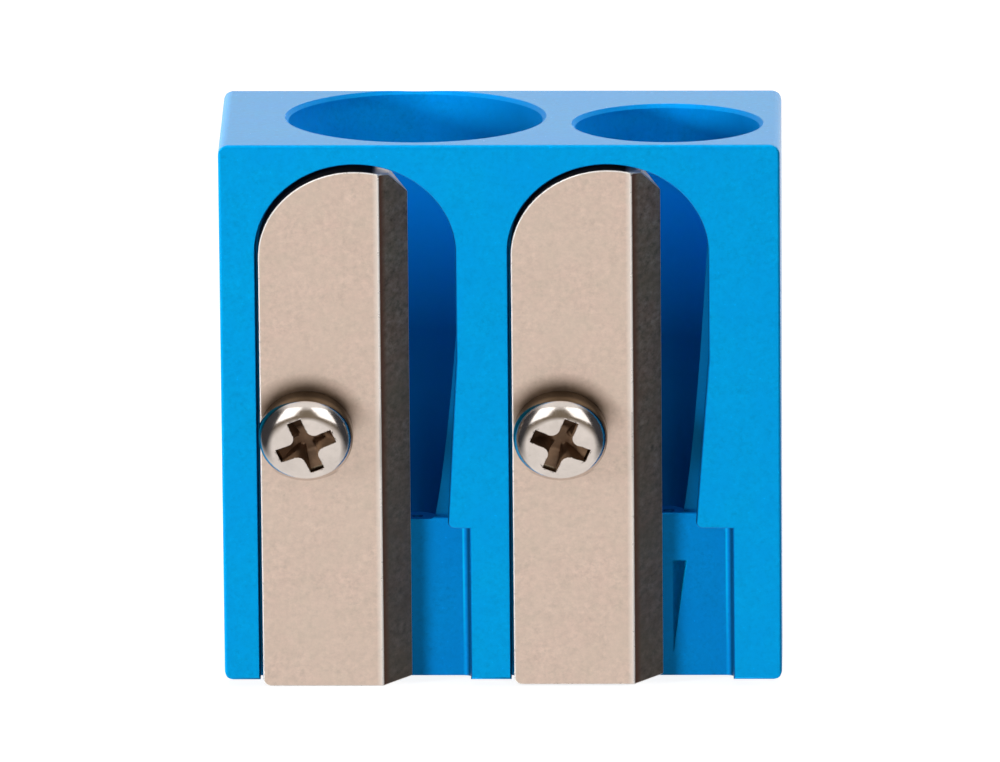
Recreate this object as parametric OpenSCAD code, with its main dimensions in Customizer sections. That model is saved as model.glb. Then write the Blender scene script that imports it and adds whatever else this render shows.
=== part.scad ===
// Two-hole wedge pencil sharpener: a cast body, two blades and the two screws that hold them.
// The origin is the middle of the body's foot. +Z runs up to the pencil holes, and the blades face -Y.
// Lengths "along the face" lie on the leaning front face and count down from its top edge.

/* [Body] */
// Width of the body
body_w = 24; // [23.5:0.1:28]
// Height of the body, from its foot to the face with the pencil holes
body_h = 25; // [24:0.1:28]
// Depth of the body at its top
body_d = 12; // [11.9:0.1:14]
// Angle by which the front face leans away from upright
face_lean = 16.5; // [16:0.1:17.5]
// Radius of the body's corners, seen from the front
corner_r = 0.4; // [0.2:0.05:0.6]
// Radius of the long edges at the top and the foot of the back
back_r = 0.25; // [0.15:0.05:0.35]
// Radius of the crisp edges at the top and the foot of the front face
brow_r = 0.15; // [0.1:0.05:0.3]

/* [Pencil holes] */
// Diameter of the hole for thick pencils
big_hole_d = 10.9; // [10.6:0.05:11]
// Diameter of the hole for ordinary pencils
small_hole_d = 7.9; // [7.6:0.05:8.1]
// Distance of the thick pencil's hole from the body's left side
big_hole_in = 8.35; // [8.2:0.05:8.5]
// Distance of the ordinary pencil's hole from the body's right side
small_hole_in = 4.84; // [4.7:0.02:5]
// Wall between both holes and the front face, at the top
hole_wall = 0.86; // [0.8:0.02:0.94]
// Depth of the straight guide at the mouth of each hole
guide_len = 0.9; // [0.7:0.05:1]
// Radius at which the thick pencil's cone stops
big_end_r = 0.81; // [0.7:0.01:0.9]
// Radius at which the ordinary pencil's cone stops
small_end_r = 0.65; // [0.5:0.01:0.7]
// How far above the chip slot's lower end each cone stops
cone_stop = 0.04; // [0.03:0.01:0.1]
// Radius of the relief for the pencil's point, below the cone
tip_r = 0.25; // [0.15:0.05:0.3]
// Depth of that relief
tip_len = 1.5; // [1:0.1:2]
// Chamfer round the mouth of each hole
mouth_chamfer = 0.16; // [0.08:0.02:0.2]

/* [Blade pockets] */
// Depth of the blade's seat below the front face
seat_depth = 0.8; // [0.7:0.05:0.9]
// Distance from the top edge to the pocket's round end, along the face
pocket_drop = 0.95; // [0.9:0.05:1.1]
// Width of the chip slot beside the cutting edge
chip_w = 2.01; // [1.9:0.01:2.1]
// Depth of the chip slot below the seat
chip_step = 0.25; // [0.15:0.05:0.35]
// Height of the left chip slot's lower end above the foot
left_chip_foot = 7.12; // [7.1:0.02:7.7]
// Height of the right chip slot's lower end above the foot
right_chip_foot = 7.34; // [7.1:0.02:7.7]
// Height above the foot at which the slots' side walls start to run in
taper_top = 15; // [12:0.5:18]
// How far the left slot's side wall runs in on its way down
left_taper = 0.43; // [0.2:0.01:0.5]
// How far the right slot's side wall runs in on its way down
right_taper = 0.58; // [0.3:0.01:0.7]
// Height of the wide lower part of the pockets, above the foot
recess_h = 7.1; // [6:0.1:7.2]
// How far the left recess reaches beyond its pocket
left_recess_out = 0.5; // [0.4:0.05:0.6]
// How far the right recess reaches beyond its pocket
right_recess_out = 1.0; // [0.8:0.05:1.1]
// Radius of the fillet between a recess's side wall and its floor
recess_fillet = 0.35; // [0.2:0.05:0.5]
// Radius of the corner where a chip slot meets its recess
slot_corner_r = 0.3; // [0.1:0.05:0.4]

/* [Point groove] */
// Height above the foot of the groove's square end
groove_top = 5.2; // [4.8:0.1:5.6]
// Height above the foot at which the groove runs out
groove_foot = 0.9; // [0.5:0.1:1.5]
// Width and depth of the groove at its square end
groove_w = 0.62; // [0.4:0.02:0.8]
// Distance of the groove's steep side from the ordinary pencil's axis
groove_out = 0.16; // [0.1:0.02:0.4]

/* [Blades] */
// Width of a blade
blade_w = 6.43; // [6.3:0.01:6.5]
// Thickness of a blade
blade_t = 0.95; // [0.9:0.05:1.1]
// Width of the ground bevel
bevel_w = 1.25; // [1:0.05:1.5]
// Distance of the cutting edge from the pencil's axis
edge_off = 0.26; // [0.15:0.01:0.35]
// Gap between a blade and its pocket's side wall
blade_gap = 0.11; // [0.05:0.01:0.15]
// Gap between the left blade and its pocket's round end
left_end_gap = 0.25; // [0.2:0.01:0.3]
// Gap between the right blade and its pocket's round end
right_end_gap = 0.18; // [0.1:0.01:0.2]
// Distance from the blade's top to the upper end of its cutting edge
corner_drop = 1.4; // [1:0.05:1.6]
// Width of the cut corner above the cutting edge
corner_w = 1; // [0.6:0.05:1.2]
// Radius of the blade's corner at the foot
heel_r = 0.35; // [0.2:0.05:0.6]

/* [Screws] */
// Distance of a screw from the body's top edge, along the face
screw_down = 13.83; // [12:0.05:15]
// Distance of the left screw from its blade's back edge
left_screw_in = 1.98; // [1.95:0.01:2.05]
// Distance of the right screw from its blade's back edge
right_screw_in = 2.08; // [2:0.01:2.1]
// Diameter of the screw's head
head_d = 4.05; // [3.9:0.05:4.3]
// Height of the screw's head
head_h = 1.35; // [1.2:0.05:1.5]
// Height of the head's straight rim
head_rim = 0.5; // [0.4:0.05:0.6]
// Width across the cross recess
cross_span = 2.6; // [2.4:0.05:2.8]
// Width of each arm of the cross recess
cross_arm = 0.62; // [0.5:0.02:0.7]
// Depth of the cross recess below the crown
cross_depth = 0.95; // [0.8:0.05:1.05]
// Angle by which the left screw's cross is turned
left_cross_turn = 22.8; // [0:0.1:90]
// Angle by which the right screw's cross is turned
right_cross_turn = 67.5; // [0:0.1:90]
// Outer diameter of the thread
thread_d = 2.5; // [2.3:0.05:2.6]
// Distance from one turn of the thread to the next
thread_pitch = 0.45; // [0.4:0.05:0.5]
// Depth of the thread
thread_depth = 0.25; // [0.2:0.01:0.28]
// Length of the screw below its head
screw_len = 5.5; // [4.5:0.1:6]
// Clearance all round the thread in the body
thread_play = 0.05; // [0.03:0.01:0.1]
// Clearance all round the screw in the blade
blade_hole_play = 0.2; // [0.15:0.05:0.3]
// Depth of the threaded hole beyond the end of the screw
hole_spare = 0.4; // [0.2:0.1:1]

/* [Hidden] */
$fn = 96;

// How far a cutter reaches past the surface that it cuts
over = 1;

blue = [0.0, 0.6, 0.88];
steel = [0.8, 0.74, 0.68];
nickel = [0.75, 0.74, 0.72];

// Faces of the body
side_x = body_w / 2;
front_y = -body_d / 2;
back_y = body_d / 2;
foot_y = front_y + body_h * tan(face_lean);

// Distance along the face to a height above the foot
function along(height) = (body_h - height) / cos(face_lean);

// Axes of the pencil holes
big_x = big_hole_in - side_x;
small_x = side_x - small_hole_in;

// The blade's cutting edge lies beside the pencil's axis, and its pocket is laid out from there
pocket_w = blade_gap + blade_w + chip_w;
pocket_r = pocket_w / 2;
left_pocket_x = big_x - edge_off - blade_w - blade_gap;
right_pocket_x = small_x - edge_off - blade_w - blade_gap;
slot_in = blade_gap + blade_w - edge_off;

// The blade follows the pocket's round end and reaches down to the foot at the level of its seat
blade_r = pocket_r - blade_gap;
seat_foot = along(-seat_depth * sin(face_lean));
blade_len = seat_foot - pocket_drop - left_end_gap;
blade_front = blade_t - seat_depth;

// One blade fits either place, so its hole lies halfway between both places of the screw
hole_in = (left_screw_in + right_screw_in) / 2;
hole_down = screw_down - pocket_drop - (left_end_gap + right_end_gap) / 2;

// The head is a disc topped by a cap of a sphere
cap_h = head_h - head_rim;
cap_r = (pow(head_d / 2, 2) + pow(cap_h, 2)) / (2 * cap_h);
core_r = thread_d / 2 - thread_depth;
turns = floor((screw_len - thread_pitch) / thread_pitch);

// Puts its children on the front face: x to the right, y up the face from its top edge, z out of the face
module on_face() {
    translate([0, front_y, body_h]) rotate([90 + face_lean, 0, 0]) children();
}

// Extrudes an outline, drawn as x and height out of the face, for a distance down the face
module down_face(from, distance) {
    on_face() translate([0, -from, 0]) rotate([90, 0, 0]) linear_extrude(distance) children();
}

// A convex outline with round corners, each with its own radius
module rounded_outline(points, radii) {
    last = len(points) - 1;
    corners = [for (i = [0 : last]) let (
        p = points[i],
        back = points[i == 0 ? last : i - 1] - p,
        ahead = points[i == last ? 0 : i + 1] - p,
        u = back / norm(back),
        v = ahead / norm(ahead),
        half = acos(u * v) / 2,
        reach = radii[i] / tan(half)
    ) [p + u * reach, p + v * reach, p + (u + v) / norm(u + v) * radii[i] / sin(half)]];
    polygon([for (c = corners) each [c[0], c[1]]]);
    for (i = [0 : last]) translate(corners[i][2]) circle(r = radii[i]);
}

// The uncut wedge, where its side view and its front view meet, each with round corners
module wedge() {
    intersection() {
        translate([-side_x, 0, 0]) rotate([90, 0, 90]) linear_extrude(body_w) rounded_outline(
            [[front_y, body_h], [foot_y, 0], [back_y, 0], [back_y, body_h]],
            [brow_r, brow_r, back_r, back_r]
        );
        translate([0, back_y + over, 0]) rotate([90, 0, 0]) linear_extrude(body_d + 2 * over) rounded_outline(
            [[-side_x, 0], [side_x, 0], [side_x, body_h], [-side_x, body_h]],
            [corner_r, corner_r, corner_r, corner_r]
        );
    }
}

// One pencil hole: a chamfered mouth, a straight guide and a cone whose front wall follows the blade's seat.
// The cone stops at the foot of the chip slot, where a small relief takes the pencil's point.
module pencil_hole(x, d, end_r, chip_foot) {
    cone_end = chip_foot + seat_depth * sin(face_lean) + cone_stop - body_h;
    cone_angle = atan((end_r - d / 2) / (cone_end + guide_len));
    translate([x, front_y + hole_wall + d / 2, body_h]) {
        translate([0, 0, -mouth_chamfer - over])
            cylinder(h = mouth_chamfer + 2 * over, r1 = d / 2 - over, r2 = d / 2 + mouth_chamfer + over);
        rotate([face_lean - cone_angle, 0, 0]) rotate_extrude() polygon([
            [0, over],
            [d / 2, over],
            [d / 2, -guide_len],
            [end_r, cone_end],
            [tip_r, cone_end],
            [0, cone_end - tip_len]
        ]);
    }
}

// Outline of a pocket on the face: round at the top, its side wall running in to the corner of the recess
module pocket_outline(x, taper, length) {
    right = x + pocket_w;
    translate([x + pocket_r, -pocket_drop - pocket_r]) circle(r = pocket_r);
    polygon([
        [x, -pocket_drop - pocket_r],
        [x, -length],
        [right - taper, -length],
        [right - taper, slot_corner_r - along(recess_h)],
        [right, -along(taper_top)],
        [right, -pocket_drop - pocket_r]
    ]);
}

// One blade pocket: the seat, the deeper chip slot and the wide recess at the foot
module pocket(x, taper, recess_out, chip_foot) {
    wall = x + pocket_w - taper;
    side = x + pocket_w + recess_out;
    on_face() translate([0, 0, -seat_depth]) linear_extrude(seat_depth + over)
        pocket_outline(x, taper, along(-over));
    on_face() translate([0, 0, -seat_depth - chip_step]) linear_extrude(seat_depth) intersection() {
        pocket_outline(x, taper, along(chip_foot));
        translate([x + slot_in, -along(chip_foot)]) square([pocket_w, along(chip_foot)]);
    }
    down_face(along(recess_h), body_h) {
        translate([x + blade_w, recess_fillet - seat_depth])
            square([side - x - blade_w, seat_depth + over - recess_fillet]);
        translate([x + blade_w, -seat_depth])
            square([side - x - blade_w - recess_fillet, seat_depth]);
        translate([side - recess_fillet, recess_fillet - seat_depth]) circle(r = recess_fillet);
    }
    on_face() translate([wall, slot_corner_r - along(recess_h), -seat_depth])
        linear_extrude(seat_depth + over) difference() {
            translate([-slot_corner_r, -2 * slot_corner_r]) square(2 * slot_corner_r);
            translate([slot_corner_r, 0]) circle(r = slot_corner_r);
        }
}

// Slender groove that frees the pencil's point: a quarter of a cone let into the recess's floor
module point_groove() {
    length = along(groove_foot) - along(groove_top);
    on_face() translate([small_x + groove_out, -along(groove_top), -seat_depth]) intersection() {
        rotate([90, 0, 0]) cylinder(h = length, r1 = groove_w, r2 = 0);
        translate([0, -length, -groove_w]) cube([groove_w, length, 2 * groove_w]);
    }
}

// Hole for a screw's thread
module tapped_hole(x, screw_in) {
    depth = screw_len - blade_t + hole_spare;
    on_face() translate([x + blade_gap + screw_in, -screw_down, -seat_depth - depth])
        cylinder(h = depth + over, r = thread_d / 2 + thread_play);
}

module body() {
    color(blue) difference() {
        wedge();
        pencil_hole(big_x, big_hole_d, big_end_r, left_chip_foot);
        pencil_hole(small_x, small_hole_d, small_end_r, right_chip_foot);
        pocket(left_pocket_x, left_taper, left_recess_out, left_chip_foot);
        pocket(right_pocket_x, right_taper, right_recess_out, right_chip_foot);
        point_groove();
        tapped_hole(left_pocket_x, left_screw_in);
        tapped_hole(right_pocket_x, right_screw_in);
    }
}

// Outline of a blade from its top left, with a round shoulder, a cut corner and a small round heel
module blade_outline() {
    difference() {
        intersection() {
            union() {
                translate([blade_r, -blade_r]) circle(r = blade_r);
                translate([0, -blade_len]) square([blade_w, blade_len - blade_r]);
            }
            polygon([
                [0, 0],
                [0, -blade_len],
                [blade_w, -blade_len],
                [blade_w, -corner_drop],
                [blade_w - corner_w, 0]
            ]);
        }
        difference() {
            translate([-over, -blade_len - over]) square(over + heel_r);
            translate([heel_r, heel_r - blade_len]) circle(r = heel_r);
        }
    }
}

// One blade on its seat, ground to its cutting edge along the right side
module blade(x, end_gap) {
    rise = blade_t / bevel_w;
    color(steel) on_face() translate([x + blade_gap, -pocket_drop - end_gap, -seat_depth]) difference() {
        linear_extrude(blade_t) blade_outline();
        translate([0, over, 0]) rotate([90, 0, 0]) linear_extrude(blade_len + 2 * over) polygon([
            [blade_w - bevel_w - over, blade_t + rise * over],
            [blade_w, 0],
            [blade_w + over, -rise * over],
            [blade_w + over, blade_t + rise * over]
        ]);
        translate([hole_in, -hole_down, -over])
            cylinder(h = blade_t + 2 * over, r = thread_d / 2 + blade_hole_play);
    }
}

module left_blade() {
    blade(left_pocket_x, left_end_gap);
}

module right_blade() {
    blade(right_pocket_x, right_end_gap);
}

// Shank with its thread drawn as rings, hanging down from the head
module shank() {
    r = thread_d / 2;
    rotate_extrude() polygon([
        [0, 0],
        [core_r, 0],
        for (i = [0 : turns - 1]) each [
            [core_r, -thread_pitch * (i + 0.5)],
            [r, -thread_pitch * (i + 1)]
        ],
        [core_r, -thread_pitch * (turns + 0.5)],
        [core_r, -screw_len],
        [0, -screw_len]
    ]);
}

// One screw: a domed head with a cross recess, seated on the blade's front
module screw(x, screw_in, cross_turn) {
    color(nickel) on_face() translate([x + blade_gap + screw_in, -screw_down, blade_front]) {
        difference() {
            intersection() {
                cylinder(h = head_h, d = head_d);
                translate([0, 0, head_h - cap_r]) sphere(r = cap_r);
            }
            for (turn = [0, 90]) rotate([0, 0, cross_turn + turn])
                translate([-cross_span / 2, -cross_arm / 2, head_h - cross_depth])
                    cube([cross_span, cross_arm, cross_depth + over]);
        }
        shank();
    }
}

module left_screw() {
    screw(left_pocket_x, left_screw_in, left_cross_turn);
}

module right_screw() {
    screw(right_pocket_x, right_screw_in, right_cross_turn);
}

body();
left_blade();
right_blade();
left_screw();
right_screw();
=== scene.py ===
import math
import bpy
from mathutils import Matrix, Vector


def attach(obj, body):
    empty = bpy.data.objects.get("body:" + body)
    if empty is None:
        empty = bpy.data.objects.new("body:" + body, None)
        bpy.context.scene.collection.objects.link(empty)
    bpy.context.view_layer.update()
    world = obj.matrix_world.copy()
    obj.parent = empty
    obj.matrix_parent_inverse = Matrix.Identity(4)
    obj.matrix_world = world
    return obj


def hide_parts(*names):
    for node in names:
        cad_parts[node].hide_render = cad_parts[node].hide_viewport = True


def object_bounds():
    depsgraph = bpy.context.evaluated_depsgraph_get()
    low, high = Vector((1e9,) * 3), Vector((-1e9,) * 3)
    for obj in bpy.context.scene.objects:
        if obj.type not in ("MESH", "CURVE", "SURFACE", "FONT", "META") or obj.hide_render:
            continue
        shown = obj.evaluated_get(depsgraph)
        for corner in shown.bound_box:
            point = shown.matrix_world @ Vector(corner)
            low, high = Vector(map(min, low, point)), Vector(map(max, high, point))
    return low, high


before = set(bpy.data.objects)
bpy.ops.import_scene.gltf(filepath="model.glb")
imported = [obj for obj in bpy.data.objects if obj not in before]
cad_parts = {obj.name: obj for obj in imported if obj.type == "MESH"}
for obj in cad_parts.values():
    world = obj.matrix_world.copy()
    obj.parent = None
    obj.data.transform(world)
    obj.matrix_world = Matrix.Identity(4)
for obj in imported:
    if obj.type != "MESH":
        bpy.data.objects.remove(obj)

from types import SimpleNamespace

import bmesh
import bpy
from bpy.props import FloatProperty, FloatVectorProperty, IntProperty, PointerProperty
from mathutils import Matrix, Vector

bl_info = {
    "name": "Wedge Pencil Sharpener",
    "version": (1, 0, 0),
    "blender": (4, 5, 0),
    "location": "View3D > Sidebar > Sharpener",
    "description": "Dresses the two-hole wedge sharpener and sets a pale stage for it",
    "category": "Object",
}

CAD_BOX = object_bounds()
MM = 0.001
NEAR = 0.01  # how near to a plane, in millimetres, a vertex counts as lying on it
ACROSS = "Across"  # the blades' attribute that runs from the bevel's upper edge to the cutting edge


# ---------------------------------------------------------------- properties


def length(name, text, mm, low=0):
    """A length in the panel, given in millimetres and kept in metres."""
    return FloatProperty(name=name, description=text, default=mm * MM, min=low, precision=5, unit="LENGTH")


def angle(name, text, degrees):
    """An angle in the panel, given in degrees and kept in radians."""
    return FloatProperty(name=name, description=text, default=math.radians(degrees), unit="ROTATION")


def share(name, text, value, top=1.0):
    """A plain number in the panel."""
    return FloatProperty(name=name, description=text, default=value, min=0, max=top)


def facets(text, value):
    """A number of facets in the panel."""
    return IntProperty(name="Facets", description=text, default=value, min=12, max=360)


def colour(name, text, rgb):
    """A linear colour in the panel."""
    return FloatVectorProperty(name=name, description=text, default=rgb, min=0, max=1, subtype="COLOR")


class BodySizes(bpy.types.PropertyGroup):
    """Sizes of the cast body, its pencil holes and its blade pockets."""

    body_w: length("Width", "Width of the body", 24)
    body_h: length("Height", "Height of the body", 25)
    body_d: length("Depth", "Depth of the body at its top", 12)
    face_lean: angle("Face lean", "Angle by which the front face leans away from upright", 16.5)
    corner_r: length("Corner radius", "Radius of the corners, seen from the front", 0.42)
    back_r: length("Back radius", "Radius of the long edges of the back", 0.25)
    brow_r: length("Brow radius", "Radius of the long edges at the top and foot of the front face", 0.16)
    lip_r: length("Lip radius", "Radius at the chip slots' lower ends", 0.05)
    side_r: length("Side radius", "Radius of the upright edges of the front face", 0.14)
    big_hole_d: length("Thick pencil's hole", "Diameter of the hole for thick pencils", 10.9)
    small_hole_d: length("Ordinary pencil's hole", "Diameter of the hole for ordinary pencils", 7.9)
    big_hole_in: length("Thick pencil's hole, inset", "Its distance from the left side", 8.35)
    small_hole_in: length("Ordinary pencil's hole, inset", "Its distance from the right side", 4.84)
    hole_wall: length("Hole wall", "Wall between the holes and the front face at the top", 0.86)
    guide_len: length("Guide", "Depth of the straight guide at the mouth", 0.9)
    big_end_r: length("Thick pencil's cone end", "Radius at which the thick pencil's cone stops", 0.81)
    small_end_r: length("Ordinary pencil's cone end", "Radius at which the ordinary one's cone stops", 0.65)
    cone_stop: length("Cone stop", "How far above the chip slot's lower end a cone stops", 0.04)
    tip_r: length("Point relief", "Radius of the relief for the pencil's point", 0.25)
    tip_len: length("Point relief's depth", "Depth of the relief for the pencil's point", 1.5)
    mouth_chamfer: length("Mouth chamfer", "Chamfer round the mouth of a hole", 0.16)
    seat_depth: length("Seat depth", "Depth of the blade's seat below the face", 0.8)
    pocket_drop: length("Pocket drop", "Distance from the top edge to the pocket's round end", 0.95)
    chip_w: length("Chip slot", "Width of the chip slot beside the cutting edge", 2.01)
    chip_step: length("Chip step", "Depth of the chip slot below the seat", 0.25)
    left_chip_foot: length("Left chip slot's foot", "Height of the left chip slot's lower end", 7.12)
    right_chip_foot: length("Right chip slot's foot", "Height of the right chip slot's lower end", 7.34)
    taper_top: length("Taper top", "Height at which the slots' side walls start to run in", 15)
    left_taper: length("Left taper", "How far the left side wall runs in", 0.43)
    right_taper: length("Right taper", "How far the right side wall runs in", 0.58)
    recess_h: length("Recess height", "Height of the wide lower part of the pockets", 7.1)
    left_recess_out: length("Left recess", "How far the left recess reaches beyond its pocket", 0.5)
    right_recess_out: length("Right recess", "How far the right recess reaches beyond its pocket", 1.0)
    recess_fillet: length("Recess fillet", "Fillet between a recess's side wall and floor", 0.35)
    slot_corner_r: length("Slot corner", "Radius where a chip slot meets its recess", 0.3)
    groove_top: length("Groove top", "Height of the point groove's square end", 5.2)
    groove_foot: length("Groove foot", "Height at which the point groove runs out", 0.9)
    groove_w: length("Groove width", "Width and depth of the groove at its square end", 0.62)
    groove_out: length("Groove offset", "Distance of the groove from the pencil's axis", 0.16)
    rim_r: length("Rim break", "Break of the pockets' edges on the front face", 0.09)
    foot_r: length("Foot break", "Break of the pockets' edges on the foot", 0.08)
    hole_facets: facets("Facets round a pencil hole", 144)


class BladeSizes(bpy.types.PropertyGroup):
    """Sizes of a blade and of the room that its pocket leaves round it."""

    width: length("Width", "Width of a blade", 6.43)
    thickness: length("Thickness", "Thickness of a blade", 0.95)
    bevel_w: length("Bevel", "Width of the ground bevel", 1.25)
    edge_off: length("Edge offset", "Distance of the cutting edge from the pencil's axis", 0.26)
    gap: length("Side gap", "Gap between a blade and its pocket's side wall", 0.11)
    left_end_gap: length("Left end gap", "Gap above the left blade", 0.25)
    right_end_gap: length("Right end gap", "Gap above the right blade", 0.18)
    corner_drop: length("Corner drop", "From the blade's top to the upper end of the cutting edge", 1.4)
    corner_w: length("Corner width", "Width of the cut corner", 1)
    heel_r: length("Heel radius", "Radius of the blade's corner at the foot", 0.35)
    edge_r: length("Edge break", "Break of the blade's edges", 0.06)
    honed: length("Honed", "How far the cutting edge is honed back", 0.012)
    honed_r: length("Cutting edge", "Radius of the cutting edge", 0.01)
    glint_r: length("Bevel's edge", "Radius of the edge between flat and bevel", 0.16)


class ScrewSizes(bpy.types.PropertyGroup):
    """Sizes of the screws and of their threaded holes."""

    down: length("Drop", "Distance from the top edge, along the face", 13.83)
    left_in: length("Left inset", "Left screw's distance from its blade's back edge", 1.98)
    right_in: length("Right inset", "Right screw's distance from its blade's back edge", 2.08)
    head_d: length("Head", "Diameter of the head", 4.05)
    head_h: length("Head height", "Height of the head", 1.35)
    rim_h: length("Rim", "Height of the head's straight rim", 0.46)
    crown_d: length("Crown", "Diameter of the nearly flat crown", 2.3)
    crown_rise: length("Crown rise", "How far the crown bulges", 0.07)
    cross_span: length("Cross span", "Width across the cross recess", 2.6)
    cross_arm: length("Cross arm", "Width of an arm of the cross recess", 0.62)
    cross_depth: length("Cross depth", "Depth of the cross recess", 0.95)
    cross_fillet: length("Cross fillet", "Radius of the metal between two arms", 0.38)
    left_turn: angle("Left turn", "Angle by which the left cross is turned", 22.8)
    right_turn: angle("Right turn", "Angle by which the right cross is turned", 67.5)
    thread_d: length("Thread", "Outer diameter of the thread", 2.5)
    pitch: length("Pitch", "Distance from one turn to the next", 0.45)
    thread_depth: length("Thread depth", "Depth of the thread", 0.25)
    shank: length("Shank", "Length below the head", 5.5)
    play: length("Thread play", "Clearance all round the thread in the body", 0.05)
    blade_play: length("Blade play", "Clearance all round the screw in the blade", 0.2)
    spare: length("Spare depth", "Depth of the hole beyond the end of the screw", 0.4)
    tap_depth: length("Tapped depth", "Depth of the thread in the wall of the hole", 0.11)
    tip: length("Tip", "How far the end of the shank draws in", 0.22)
    lip_r: length("Lip radius", "Radius of the head's edge against the blade", 0.07)
    cross_edge: length("Cross edge", "Radius of the edges at the recess's mouth", 0.03)
    thread_facets: facets("Facets round a thread", 40)


class Finishes(bpy.types.PropertyGroup):
    """Colours of the finishes, all linear."""

    blue: colour("Body blue", "Coloured finish of the cast body", (0.0006, 0.375, 0.85))
    # painted shade: the pockets' blue is darker than the body's blue to stand in for the shade in the pockets
    sunk: colour("Pocket blue", "The blade pockets' deeper blue", (0.0003, 0.225, 0.63))
    # painted light: the holes' blue near the mouth is tuned to stand in for the light there
    bore: colour("Hole blue", "The pencil holes' blue near the mouth", (0.0003, 0.33, 0.92))
    # painted highlight: strength and colour of the bright line along a recess's side
    line: share("Pocket line", "Strength of the bright line along a recess's side", 0.5)
    gleam: colour("Line blue", "Colour of the bright line along a recess's side", (0.0, 0.6, 1.0))
    # painted light: the groove's blue is lighter, standing in for light on the groove's lit side
    groove: colour("Groove blue", "The point groove's blue", (0.0, 0.42, 0.9))
    steel: colour("Blade flat", "Ground flat of a blade", (0.76, 0.605, 0.52))
    # partly polish, partly a painted highlight: the blade's bright edge
    glint: colour("Blade edge", "Bright line where flat and bevel meet", (0.97, 0.9, 0.85))
    # painted reflection: the bevel's dark colour stands in for the dark surroundings it mirrors
    hollow: colour("Blade bevel", "Dark ground bevel of a blade", (0.23, 0.2, 0.175))
    edge_brown: colour("Bevel's brown edge", "Brown tint along the bevel's upper edge", (0.2, 0.09, 0.055))
    flank: colour("Blade flank", "Dark unground edges of a blade", (0.05, 0.05, 0.06))
    # painted shade: a brown halo round each screw head on the blade, and its reach
    head_shade: colour("Screw stain", "Brown stain round the screw heads", (0.13, 0.08, 0.045))
    halo: length("Head shade reach", "Reach of the stain above a screw head", 2.9)
    nickel: colour("Nickel", "Plating of the screws", (0.7, 0.64, 0.6))
    # painted reflection: darker plating on the side of a screw head, standing in for the dark things it
    # mirrors
    tarnish: colour("Tarnish", "Darker plating on the side of a screw head", (0.14, 0.11, 0.075))
    # brown, darker metal inside the cross recess
    recess_brown: colour("Recess", "Darkened metal inside the cross recess", (0.2, 0.12, 0.07))


class StageSettings(bpy.types.PropertyGroup):
    """Camera, lamps and floor."""

    azimuth: angle("Azimuth", "Camera's angle round the sharpener", 0.88)
    elevation: angle("Elevation", "Camera's height above the horizon", 12.03)
    roll: angle("Roll", "Camera's roll", -0.233)
    distance: length("Distance", "Camera's distance", 1400)
    span: length("Span", "Width that the frame takes in at the sharpener", 42.941)
    aside: length("Aside", "Shift of the aim to the right", -0.078, low=-10)
    raise_aim: length("Rise", "Shift of the aim upwards", 0.932, low=-10)
    ambient: share("Ambient", "Level of the even light", 0.09, 5)
    front_lamps: share("Front lamps", "Radiance of the two front lamps", 1.7, 50)
    side_lamp: share("Side lamp", "Radiance of the lamp at the left", 205, 400)
    top_lamp: share("Top lamp", "Radiance of the lamp above", 6.5, 100)
    fill_lamp: share("Fill lamp", "Radiance of the lamp at the right", 10, 100)
    back_lamp: share("Back lamp", "Radiance of the lamp behind", 9, 100)
    glow: share("Floor glow", "How much the floor shows above what the lamps give it", 0.9, 1)


def in_mm(group):
    """The group's values by name, with lengths in millimetres and angles in radians."""
    values = SimpleNamespace()
    for prop in group.bl_rna.properties:
        if prop.identifier in ("rna_type", "name"):
            continue
        value = getattr(group, prop.identifier)
        setattr(values, prop.identifier, value / MM if getattr(prop, "unit", "") == "LENGTH" else value)
    return values


def plan(scene):
    """Every size and place on the sharpener, in millimetres, worked out from the panel's values."""
    b, k, s = in_mm(scene.sharpener_body), in_mm(scene.sharpener_blade), in_mm(scene.sharpener_screw)
    sin, cos = math.sin(b.face_lean), math.cos(b.face_lean)
    p = SimpleNamespace(b=b, k=k, s=s, sin=sin, cos=cos)
    p.side, p.front, p.back = b.body_w / 2, -b.body_d / 2, b.body_d / 2
    p.foot = p.front + b.body_h * math.tan(b.face_lean)
    p.along = lambda height: (b.body_h - height) / cos
    p.big_x, p.small_x = b.big_hole_in - p.side, p.side - b.small_hole_in
    p.pocket_w = k.gap + k.width + b.chip_w
    p.left_x = p.big_x - k.edge_off - k.width - k.gap
    p.right_x = p.small_x - k.edge_off - k.width - k.gap
    p.slot_in = k.gap + k.width - k.edge_off
    p.blade_len = p.along(-b.seat_depth * sin) - b.pocket_drop - k.left_end_gap
    p.blade_front = k.thickness - b.seat_depth
    p.hole_in = (s.left_in + s.right_in) / 2
    p.hole_down = s.down - b.pocket_drop - (k.left_end_gap + k.right_end_gap) / 2
    # x to the right, y up the front face from its top edge, z out of the face
    p.face = Matrix(((1, 0, 0, 0), (0, -sin, -cos, p.front), (0, cos, -sin, b.body_h), (0, 0, 0, 1)))
    # x to the right, y out of the face, z down the face
    p.down = p.face @ Matrix(((1, 0, 0, 0), (0, 0, -1, 0), (0, 1, 0, 0), (0, 0, 0, 1)))
    return p


# ---------------------------------------------------------------- mesh tools


def link(name, bm):
    """Makes an object of that name from a bmesh, its faces pointing outwards, and frees the bmesh."""
    bmesh.ops.recalc_face_normals(bm, faces=bm.faces[:])
    mesh = bpy.data.meshes.new(name)
    bm.to_mesh(mesh)
    bm.free()
    made = bpy.data.objects.new(name, mesh)
    bpy.context.scene.collection.objects.link(made)
    return made


def arc(x, y, r, start, end, steps):
    """Points on an arc round (x, y), from one angle to another in degrees."""
    angles = [math.radians(start + (end - start) * i / steps) for i in range(steps + 1)]
    return [(x + r * math.cos(a), y + r * math.sin(a)) for a in angles]


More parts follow.
